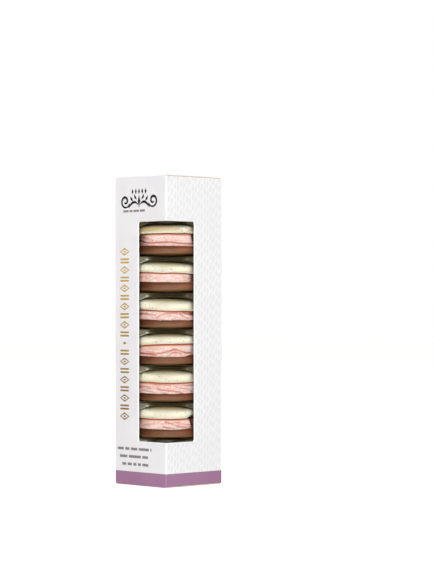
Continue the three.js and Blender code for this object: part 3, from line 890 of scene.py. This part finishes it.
def rib_reach(angles):
    """How far a rib reaches at each angle: to the window panels, with a round recess at the front"""
    reach = TRAY_REACH / (np.abs(np.sin(angles)) + np.abs(np.cos(angles)))
    inner = RIB_SHOULDER - RECESS_MARGIN
    front = TRAY_REACH - RIB_SHOULDER - RECESS_MARGIN
    recess_radius = (inner ** 2 + RIB_RECESS_DEPTH ** 2) / (2 * RIB_RECESS_DEPTH)
    centre = front - RIB_RECESS_DEPTH + recess_radius
    across = centre * np.sin(angles)
    meets = (np.cos(angles) > 0) & (np.abs(across) < recess_radius)
    near = centre * np.cos(angles) - np.sqrt(np.maximum(recess_radius ** 2 - across ** 2, 0.0))
    recess = np.where(meets, near, 2 * TRAY_REACH)
    blend = np.maximum(1 - np.abs(reach - recess) / RECESS_SOFTNESS, 0.0)
    return np.minimum(reach, recess) - blend ** 2 * RECESS_SOFTNESS / 4


def ceiling_height(rim, radius, angles):
    """Height of a pocket's ceiling, which is domed like a macaron and falls towards both sides"""
    middle_drop = 0.23 * POCKET_DOME * smooth_step(radius, 0.0, 10.0)
    side_drop = POCKET_SIDE_DROP * smooth_step(np.abs(radius * np.sin(angles)), *POCKET_SIDES)
    return rim + POCKET_DOME - middle_drop - side_drop


def rib_knob(across, up):
    """Small rounded knobs where a rib's recess begins, from 0 to 1"""
    beside = (np.abs(across) - RIB_SHOULDER) / KNOB_HALF_WIDTH
    return np.where(across < 0, 0.9, 1.0) * np.exp(-beside ** 2 - (up / KNOB_HALF_HEIGHT) ** 2)


def rib_heights(index):
    """Bottom and top of a rib. The one under the lid is number -1"""
    if index == -1:
        return FLOORS[0] + PITCH - RIB_THICKNESS, CARTON_HEIGHT - END_THICKNESS - TRAY_CLEARANCE
    if index == COUNT - 1:
        return END_THICKNESS + TRAY_CLEARANCE, FLOORS[index]
    return FLOORS[index] - RIB_THICKNESS, FLOORS[index]


def rib_underside(index, radius, angles):
    """Height of a rib's underside: flat for the lowest, otherwise the ceiling of the pocket below"""
    low = rib_heights(index)[0]
    return low if index == COUNT - 1 else ceiling_height(low, radius, angles)


def rib_rows(index, angles):
    """Rows of radius, height and painted light from under a rib, over its lip, face and edge, to its top"""
    low, high = rib_heights(index)
    reach = rib_reach(angles)
    across = reach * np.sin(angles)
    recessed = 1 - smooth_step(np.abs(across), RIB_SHOULDER - 2.0, RIB_SHOULDER)
    # Painted shade in the recess and painted light on the shoulders, less on the right one
    painted_light = (1 - recessed) * np.where(across < 0, LEFT_SHOULDER_PAINTED_LIGHT, RIGHT_SHOULDER_PAINTED_LIGHT)
    lip_gleam = LIP_GLEAM
    # The rib under the lid gets painted shade, and half the painted highlight on its lip
    if index == -1:
        painted_light = painted_light * TOP_RIB_LIGHT_SHARE
        lip_gleam = LIP_GLEAM / 2
    rows = []
    for share in RIB_SHARES:
        radius = share * (reach - RIB_EDGE)
        rows.append((radius, rib_underside(index, radius, angles), painted_light))
    for rise, inset in round_edge(RIB_LIP, 4):
        height = rib_underside(index, reach - inset, angles) + rise
        # A painted highlight along the lip
        rows.append((reach - inset, height, painted_light + lip_gleam))
    lip = rows[-1][1] + RIB_LIP
    for share in np.linspace(0, 1, 8):
        height = lip + (high - RIB_EDGE - lip) * share
        knob = rib_knob(across, height - (low + high) / 2)
        radius = reach - RIB_SLANT * recessed * (1 - share) + KNOB_HEIGHT * knob
        # A painted highlight on each knob
        rows.append((radius, height, painted_light + KNOB_GLEAM * knob))
    for inset, drop in round_edge(RIB_EDGE, 4)[1:]:
        rows.append((reach - inset, high - drop, painted_light))
    for share in reversed(RIB_SHARES):
        rows.append((share * (reach - RIB_EDGE), high, painted_light))
    return rows


def pocket_rows(floor, above, angles):
    """Rows of radius, height and painted light over a pocket's floor, wall and ceiling"""
    rows = [(share * POCKET_RADIUS, floor, 1.0) for share in POCKET_SHARES]
    rows.append((POCKET_RADIUS, floor + POCKET_CORNER, 1.0))
    rows.append((POCKET_RADIUS, rib_underside(above, POCKET_RADIUS, angles) - POCKET_CORNER, 1.0))
    for share in reversed(POCKET_SHARES):
        radius = share * POCKET_RADIUS
        rows.append((radius, rib_underside(above, radius, angles), 1.0))
    return rows


class Sheet:
    """The tray's sheet before it gets its thickness, and the painted light on its plastic at each vertex"""

    def __init__(self):
        self.points = []
        self.faces = []
        self.pale = []

    def strip(self, angles, rows):
        """Part of the sheet through rows of radius, height and painted light, which may vary by angle"""
        start = len(self.points)
        for row in rows:
            radius, height, painted_light = (np.broadcast_to(value, angles.shape) for value in row)
            self.points.extend(zip(radius * np.sin(angles), -radius * np.cos(angles), height))
            self.pale.extend(painted_light)
        for face in grid_faces(len(rows), len(angles), closed=False):
            self.faces.append(tuple(start + index for index in face))

    def pocket_end(self, angle, floor, above):
        """The flat wall from a pocket's round wall out to the flange"""
        start = len(self.points)
        outer = float(rib_reach(np.array([angle]))[0])
        for radius in (POCKET_RADIUS, outer):
            for height in (floor, float(rib_underside(above, radius, angle))):
                self.points.append((radius * math.sin(angle), -radius * math.cos(angle), height))
                self.pale.append(1.0)
        order = (0, 2, 3, 1) if angle > 0 else (0, 1, 3, 2)
        self.faces.append(tuple(start + part for part in order))


def tray_surface():
    """Ribs above and below each pocket, pocket walls behind, and flanges at the sides"""
    edge_angle = math.acos(FLANGE_FORWARD / POCKET_RADIUS)
    front = np.linspace(-edge_angle, edge_angle, 161)
    side = np.linspace(edge_angle, math.pi / 2, 7)
    back = np.linspace(edge_angle, 2 * math.pi - edge_angle, 61)
    sheet = Sheet()
    for index in range(-1, COUNT):
        sheet.strip(front, rib_rows(index, front))
        for angles in (side, -side[::-1]):
            reach = rib_reach(angles)
            under = rib_underside(index, reach, angles)
            sheet.strip(angles, [(reach, under, 1.0), (reach, rib_heights(index)[1], 1.0)])
    for index, floor in enumerate(FLOORS):
        sheet.strip(back, pocket_rows(floor, index - 1, back))
        for angles in (side, -side[::-1]):
            reach = rib_reach(angles)
            sheet.strip(angles, [(reach, floor, 1.0), (reach, rib_underside(index - 1, reach, angles), 1.0)])
        for angle in (edge_angle, -edge_angle):
            sheet.pocket_end(angle, floor, index - 1)
    return sheet


def build_tray():
    sheet = tray_surface()
    piece = new_piece("tray_sheet", to_world(np.array(sheet.points)), sheet.faces, [tray_plastic()], "tray")
    # The painted light goes to the material in the pale attribute
    store(piece, "pale", sheet.pale)
    with opened(piece) as shape:
        bmesh.ops.remove_doubles(shape, verts=shape.verts, dist=WELD_DISTANCE * MM)
    thicken = piece.modifiers.new("thicken", "SOLIDIFY")
    thicken.thickness = SHEET * MM
    thicken.offset = -1
    apply_modifiers(piece)
    shade_smooth(piece, 50)
    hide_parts("tray")


# Materials of the macarons


def milk_chocolate():
    """Satin milk chocolate, a little paler and redder in patches, with painted light, shade and reflection"""
    shell = Shading("milk_chocolate", roughness=0.48, ior=1.6, specular_tint=(1.0, 0.7, 0.5, 1.0))
    place = shell.millimetres()
    patches = shell.ramp(shell.noise(place, 0.18, 3.0), 0.3, 0.7)
    colour = shell.mix(patches, rgb(94, 46, 25), rgb(106, 54, 31))
    # Painted shade towards the left and painted light towards the right
    colour = shell.mix(shell.attribute("left"), colour, rgb(78, 40, 22))
    colour = shell.mix(shell.attribute("right"), colour, rgb(149, 94, 65))
    # A painted olive reflection of the tray on the foot, and painted shade in the groove under the lip
    colour = shell.mix(shell.attribute("foot"), colour, rgb(128, 98, 62))
    shell.paint(shell.mix(shell.attribute("groove"), colour, rgb(66, 34, 18)))
    shell.bump(shell.noise(place, 0.9, 4.0), 0.05)
    return shell.material


def white_chocolate():
    """Cream-coloured chocolate with fine dark specks, and painted light and shade"""
    shell = Shading("white_chocolate", roughness=0.38, ior=1.45, subsurface_weight=0.35,
                    subsurface_radius=(1.0, 0.85, 0.6), subsurface_scale=2.0 * MM)
    place = shell.millimetres()
    patches = shell.ramp(shell.noise(place, 0.12, 3.0), 0.3, 0.7)
    colour = shell.mix(patches, rgb(217, 210, 184), rgb(223, 216, 193))
    painted_shading = shell.attribute("painted_shading")
    # Below nought the shading paints light, near white; above nought it paints shade, in a deep cream
    colour = shell.mix(shell.ramp(painted_shading, 0.0, -1.0), colour, rgb(255, 248, 219))
    colour = shell.mix(painted_shading, colour, rgb(200, 173, 110))
    distance, chance = shell.cells(shell.shifted(place, 1.5), 0.58)
    size = shell.ramp(chance, 0.0, 1.0, 0.09, 0.21)
    speck = shell.ramp(shell.math("SUBTRACT", distance, size), 0.03, -0.03)
    colour = shell.mix(shell.math("MULTIPLY", speck, 0.65), colour, rgb(112, 94, 58))
    shell.paint(colour)
    shell.bump(shell.noise(place, 0.5, 3.0), 0.06)
    return shell.material


def whipped_filling():
    """Pink whipped filling with red fruit specks, and painted light and shade"""
    filling = Shading("whipped_filling", roughness=0.62, specular_ior_level=0.2,
                      specular_tint=(1.0, 0.8, 0.75, 1.0), subsurface_weight=0.5,
                      subsurface_radius=(1.0, 0.4, 0.3), subsurface_scale=2.0 * MM)
    place = filling.millimetres()
    streaks = filling.millimetres((0.5, 0.5, 2.2))
    tint = filling.ramp(filling.noise(streaks, 0.5, 4.0, 0.6), 0.32, 0.68)
    colour = filling.mix(tint, rgb(239, 205, 193), rgb(250, 238, 228))
    grain = filling.ramp(filling.noise(place, 1.2, 4.0, 0.7), 0.42, 0.58)
    colour = filling.mix(filling.math("MULTIPLY", grain, 0.45), colour, rgb(226, 164, 152))
    # Painted light, redder, towards the left end
    colour = filling.mix(filling.attribute("side"), colour, rgb(251, 202, 186))
    # Painted shade in the creases
    crease = filling.math("MULTIPLY", filling.attribute("crease"), 0.85)
    colour = filling.mix(crease, colour, rgb(204, 124, 104))
    # Painted shade in a line along the top, under the pale shell
    colour = filling.mix(filling.attribute("rim"), colour, rgb(190, 108, 66))
    distance, chance = filling.cells(filling.shifted(place, 1.1), 0.62)
    fruit = filling.math("MULTIPLY", filling.ramp(distance, 0.24, 0.1), filling.ramp(chance, 0.5, 0.62))
    colour = filling.mix(filling.math("MULTIPLY", fruit, 0.85), colour, rgb(214, 104, 108))
    distance, _ = filling.cells(place, 1.7)
    crumbs = filling.math("MULTIPLY", filling.ramp(distance, 0.3, 0.12), 0.4)
    colour = filling.mix(crumbs, colour, rgb(226, 130, 130))
    # Painted shade, dark brown, towards the ends
    filling.paint(filling.mix(filling.attribute("end_shade"), colour, rgb(92, 50, 32)))
    filling.bump(filling.noise(place, 1.1, 5.0, 0.65), 0.25)
    return filling.material


# Macarons


def base_outline(rim):
    """Radius and height up the dark shell: rounded foot, side, lip with a groove under it, and rim"""
    outline = []
    for angle in arc(5, 90, 16):
        rise = 1 - math.cos(angle) ** BASE_POWER
        outline.append((BASE_RADIUS * math.sin(angle) ** BASE_POWER, BASE_ROUND_HEIGHT * rise))
    lip = rim - RIM_LIP_HEIGHT
    groove, reach = BASE_RADIUS - GROOVE_DEPTH, BASE_RADIUS + RIM_LIP_REACH
    outline += [(BASE_RADIUS, BASE_ROUND_HEIGHT + 0.6), (BASE_RADIUS, (BASE_ROUND_HEIGHT + lip) / 2)]
    outline += [(BASE_RADIUS - 0.02, lip - 0.25), (groove, lip - 0.1), (groove, lip), (reach, lip + 0.12)]
    outline += [(reach - inset, rim - drop) for inset, drop in round_edge(RIM_EDGE, 5)]
    outline += [(BASE_RADIUS - 0.95, rim), (BASE_RADIUS - 1.1, rim - 0.5)]
    outline.append((BASE_RADIUS - 1.8, rim - RIM_DEPTH))
    return outline


def build_base(number, spec, material):
    seed = 1.3 * (number - 1)
    seat, rim = SEATS[number - 1], spec["rim"]
    angles = round_angles(SHELL_COLUMNS)
    radius, up = rings(base_outline(rim))
    # How much painted olive reflection of the tray the rounded foot takes
    foot = 0.7 * (1 - smooth_step(up, 0.6 * BASE_ROUND_HEIGHT, BASE_ROUND_HEIGHT + 1.2))
    # Painted shade in the groove under the lip
    groove = 0.6 * np.exp(-((up - rim + RIM_LIP_HEIGHT + 0.05) / 0.25) ** 2)
    radius = radius + 0.1 * unevenness(angles, seed)
    height = seat + up + 0.06 * unevenness(angles + 1, seed + 2) * up / rim
    across = radius * np.sin(angles)
    # Painted shade towards the left, and painted light towards the right, weaker on the lower macarons
    left = 0.75 * smooth_step(-across, 7.0, 13.5)
    right = 0.9 * smooth_step(across, 2.0, 12.0) * smooth_step(up, 1.0, 3.5) * max(0.3, 1.2 - 0.2 * number)
    points, faces = ring_solid(radius, angles, height, seat, seat + rim - RIM_DEPTH)
    piece = new_piece(f"macaron_{number}_dark_shell", to_world(points), faces, [material], "dark_shell")
    for name, values in (("foot", foot), ("groove", groove), ("left", left), ("right", right)):
        store(piece, name, np.append(np.broadcast_to(values, radius.shape), [0.0, 0.0]))
    shade_smooth(piece, 60)
    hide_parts(f"macaron_{number}_base")


def curve_through(points, steps=6):
    """A smooth line through the points, with as many steps from each to the next"""
    points = np.array(points, dtype=float)
    padded = np.concatenate([[2 * points[0] - points[1]], points, [2 * points[-1] - points[-2]]])
    share = (np.arange(steps) / steps)[:, None]
    stretches = []
    for before, start, end, after in zip(padded, padded[1:], padded[2:], padded[3:]):
        bend = 2 * before - 5 * start + 4 * end - after
        twist = 3 * start - before - 3 * end + after
        stretches.append(start + ((end - before) * share + bend * share ** 2 + twist * share ** 3) / 2)
    return np.concatenate(stretches + [points[-1:]])


def distance_to_line(x, y, line):
    """Distance of each point to a line of short stretches, and on which side of it the point lies"""
    nearest = np.full(x.shape, 1e9)
    above = np.zeros(x.shape)
    for start, end in zip(line[:-1], line[1:]):
        along = end - start
        length = float(along @ along)
        share = np.clip(((x - start[0]) * along[0] + (y - start[1]) * along[1]) / length, 0.0, 1.0)
        away_x = x - start[0] - share * along[0]
        away_y = y - start[1] - share * along[1]
        distance = np.hypot(away_x, away_y)
        closer = distance < nearest
        nearest = np.where(closer, distance, nearest)
        above = np.where(closer, np.sign(along[0] * away_y - along[1] * away_x), above)
    return nearest, above


def crease_relief(creases, across, share, tall):
    """How deep creases press in at each place, and how far the filling bulges beside them"""
    deep = np.zeros_like(across)
    bulging = np.zeros_like(across)
    for points, depth, width in creases:
        line = curve_through([(x, level * tall) for x, level in points])
        distance, above = distance_to_line(across, share * tall, line)
        deep = np.maximum(deep, depth * np.exp(-(distance / width) ** 2))
        bulge = np.exp(-((distance - 2.2 * width) / (1.6 * width)) ** 2)
        bulging = np.maximum(bulging, (0.22 + 0.12 * above) * depth * bulge)
    return deep, bulging


def build_filling(number, spec, material):
    seat, rim = SEATS[number - 1], spec["rim"]
    angles = round_angles(FILLING_COLUMNS)
    share = (np.arange(FILLING_ROWS) / (FILLING_ROWS - 1))[:, None]
    across = np.broadcast_to(FILLING_RADIUS * np.sin(angles), (FILLING_ROWS, FILLING_COLUMNS))
    ragged = 0.95 + 0.1 * wave_noise(across[0] * 0.5, 0 * across[0], number, 2)
    lip = soft_line(spec["lip"], across[0]) * ragged
    low = rim - 0.05 - lip
    high = soft_line(spec["edge"], across[0]) + 0.1
    up = low + (high - low) * share
    deep, bulging = crease_relief(spec["creases"], across, share, float(np.mean(high - low)))
    deep = deep * (0.35 + 0.65 * smooth_step(up - low, 0.1, 1.3))
    crown = FILLING_CROWN * (1 - np.abs(2 * share - 1) ** 3.5)
    hanging = FILLING_OVERHANG * np.minimum(lip, 1.0) * (1 - 0.75 * smooth_step(up - rim, 0.3, 3.5))
    lumps = 0.12 * wave_noise(across * 0.9, up * 1.7, 10 + number)
    lumps += 0.05 * wave_noise(across * 3, up * 4, 20 + number)
    radius = FILLING_RADIUS - 0.45 + crown + hanging + bulging + lumps - deep
    radius = radius - soft_line(spec["gap"], across) * smooth_step(share, 0.92, 1.0)
    radius = np.where(up < rim + 0.1, np.maximum(radius, BASE_RADIUS + 0.3), radius)
    turned_in = np.maximum(1 - (up - low) / FILLING_EDGE, 0.0)
    radius = radius - 0.9 * (1 - np.sqrt(1 - turned_in ** 2))
    points, faces = ring_solid(radius, angles, seat + up, seat + rim - 0.4, seat + high.mean())
    piece = new_piece(f"macaron_{number}_whip", to_world(points), faces, [material], "filling")
    # Painted shade along the top under the pale shell, in the creases and hollows, and towards the ends, and
    # painted light towards the left end
    edge = np.broadcast_to(smooth_step(share, 0.78, 0.9), deep.shape)
    crease_shade = np.clip(deep / 1.1 - 2.0 * lumps, 0, 1)
    side = smooth_step(-across, 10.0, 16.0)
    end_shade = soft_line(spec["end_shade"], across) * (0.85 + 0.15 * share)
    for name, values in (("crease", crease_shade), ("rim", edge), ("side", side), ("end_shade", end_shade)):
        store(piece, name, np.append(values, [0.0, 0.0]))
    shade_smooth(piece, 75)
    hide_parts(f"macaron_{number}_filling")


def chip_height(spec, angles):
    """How far the lower edge is broken away at each angle"""
    chip = spec.get("chip")
    if not chip:
        return np.zeros_like(angles)
    share = np.clip((angles - chip["from"]) / (chip["to"] - chip["from"]), 0.0, 1.0)
    return chip["height"] * np.sin(math.pi * share) ** 0.8


def top_outline():
    """Radius up the pale shell, and how far up it each point lies, from 0 at its edge to 1 at its top"""
    outline = [(TOP_RADIUS - 2.4, 0.05), (TOP_RADIUS - 0.9, 0.02)]
    for angle in arc(0, 80, 4):
        outline.append((TOP_RADIUS - TOP_EDGE * (1 - math.sin(angle)), 0.05 * (1 - math.cos(angle))))
    for angle in arc(4, 86, 26):
        outline.append((TOP_RADIUS * math.cos(angle) ** TOP_POWER, math.sin(angle) ** TOP_POWER))
    return outline


def build_top(number, spec, material):
    seat = SEATS[number - 1]
    angles = round_angles(SHELL_COLUMNS)
    radius, share = rings(top_outline())
    broken = chip_height(spec, angles) * np.maximum(0.0, 1 - 1.6 * share)
    across = radius * np.sin(angles)
    low = soft_line(spec["edge"], across)
    wave = 0.06 * wave_noise(3.2 * np.sin(angles), 3.2 * np.cos(angles), number)
    height = low + wave + (spec["top"] - spec["lean"] * across - low - wave) * share
    height = seat + np.maximum(height, low + broken)
    radius = radius + 0.12 * unevenness(angles, 1.3 * number - 0.7)
    radius = radius - 0.35 * broken * (1 + 0.25 * np.sin(23 * angles))
    points, faces = ring_solid(radius, angles, height, seat + low.mean(), seat + spec["top"])
    piece = new_piece(f"macaron_{number}_pale_shell", to_world(points), faces, [material], "pale_shell")
    # Painted shading across the shell, above its lower edge: painted shade, or below nought painted light
    shading_across = soft_line(spec.get("painted_shading", USUAL_PAINTED_SHADING), across)
    # Painted shade on the crown, under the pocket's ceiling, less towards the sides
    crown = smooth_step(share, 0.5, 0.95) * (1 - 0.85 * smooth_step(np.abs(across), 9.0, 15.0))
    body = smooth_step(share, 0.1, 0.24)
    # Where the shell has painted shade, a strip of painted light runs along its lower edge
    painted_shading = shading_across * body * (1 - crown) + 0.7 * crown - 0.8 * np.clip(shading_across, 0.0, 1.0) * (1 - body)
    store(piece, "painted_shading", np.append(painted_shading, [0.0, 0.7]))
    shade_smooth(piece, 70)
    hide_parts(f"macaron_{number}_top")


def build_macarons():
    dark, pink, pale = milk_chocolate(), whipped_filling(), white_chocolate()
    for number, spec in enumerate(MACARONS, start=1):
        build_base(number, spec, dark)
        build_filling(number, spec, pink)
        build_top(number, spec, pale)


# Floor, light and camera


def build_floor():
    """A pale floor that glows a little, like a light table, so that shadows on it stay faint"""
    half = 4000.0
    points = [(-half, -half, -0.1), (half, -half, -0.1), (half, half, -0.1), (-half, half, -0.1)]
    floor_look = Shading("floor", base_color=(0.12, 0.12, 0.12, 1.0), roughness=0.9,
                         emission_color=(1.0, 1.0, 1.0, 1.0), emission_strength=0.96)
    floor = new_piece("floor", points, [(0, 1, 2, 3)], [floor_look.material], None)
    floor.visible_diffuse = False
    floor.visible_glossy = False
    floor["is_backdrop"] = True


def build_world():
    """White for the camera; as light it is softer and warm, brighter from below as over a pale table"""
    world = bpy.data.worlds.new("studio")
    world.use_nodes = True
    bpy.context.scene.world = world
    nodes, link = world.node_tree.nodes, world.node_tree.links.new
    soft = nodes["Background"]
    soft.inputs["Color"].default_value = WORLD_TINT
    place = nodes.new("ShaderNodeTexCoord")
    split = nodes.new("ShaderNodeSeparateXYZ")
    fade = nodes.new("ShaderNodeMapRange")
    for key, value in (("From Min", -1.0), ("From Max", 1.0), ("To Min", 0.46), ("To Max", 0.24)):
        fade.inputs[key].default_value = value
    link(place.outputs["Generated"], split.inputs[0])
    link(split.outputs["Z"], fade.inputs["Value"])
    link(fade.outputs[0], soft.inputs["Strength"])
    white = nodes.new("ShaderNodeBackground")
    white.inputs["Color"].default_value = (1.0, 1.0, 1.0, 1.0)
    white.inputs["Strength"].default_value = 1.0
    ray = nodes.new("ShaderNodeLightPath")
    mix = nodes.new("ShaderNodeMixShader")
    link(ray.outputs["Is Camera Ray"], mix.inputs[0])
    link(soft.outputs[0], mix.inputs[1])
    link(white.outputs[0], mix.inputs[2])
    link(mix.outputs[0], nodes["World Output"].inputs[0])


def area_light(name, azimuth, elevation, distance, width, height, strength):
    """A soft light aimed at the carton's middle. Azimuth turns from +X towards +Y. Lengths are in metres"""
    target = Vector((HALF * 0.5, -HALF * 0.5, CARTON_HEIGHT * 0.5)) * MM
    around, up = math.radians(azimuth), math.radians(elevation)
    direction = Vector((math.cos(around) * math.cos(up), math.sin(around) * math.cos(up), math.sin(up)))
    data = bpy.data.lights.new(name, "AREA")
    data.shape = "RECTANGLE"
    data.size, data.size_y = width, height
    data.energy = strength
    data.color = LAMP_TINT
    light = bpy.data.objects.new(name, data)
    bpy.context.scene.collection.objects.link(light)
    light.location = target + direction * distance
    light.rotation_mode = "QUATERNION"
    light.rotation_quaternion = (-direction).to_track_quat("-Z", "Y")


def build_lights():
    area_light("key", -6.0, 6.0, 1.5, 0.6, 0.7, 9.1)
    area_light("front", -44.0, 7.0, 1.7, 0.8, 0.9, 18.0)
    area_light("side", -78.0, 8.0, 1.7, 1.0, 0.9, 10.7)
    area_light("left", 180.0, 9.0, 1.6, 1.0, 1.0, 11.3)
    area_light("rear", 114.0, 40.0, 1.8, 1.2, 1.0, 33.0)


def build_camera():
    """Level, in front of the window fold, with the photograph's long lens"""
    data = bpy.data.cameras.new("camera")
    camera = bpy.data.objects.new("camera", data)
    bpy.context.scene.collection.objects.link(camera)
    data.sensor_fit = "VERTICAL"
    data.sensor_width = data.sensor_height = 36.0
    data.lens = FOCAL_PIXELS * data.sensor_height / IMAGE_HEIGHT
    data.shift_y = HORIZON_BELOW_MIDDLE / IMAGE_HEIGHT
    data.clip_start, data.clip_end = 0.05, 20.0
    camera.location = CAMERA_PLACE
    camera.rotation_mode = "QUATERNION"
    camera.rotation_quaternion = Vector(CAMERA_FORWARD).to_track_quat("-Z", "Y")
    bpy.context.scene.camera = camera


def write_sizes():
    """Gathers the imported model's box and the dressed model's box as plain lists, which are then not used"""
    boxes = {"cad": cad_bounds, "visual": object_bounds()}
    plain = {name: [list(corner) for corner in box] for name, box in boxes.items()}


bpy.context.scene.view_settings.view_transform = "Standard"
build_camera()
build_floor()
build_world()
build_lights()
build_carton()
gold_ornament()
dark_ornament()
grey_rules()
build_tray()
build_macarons()
write_sizes()
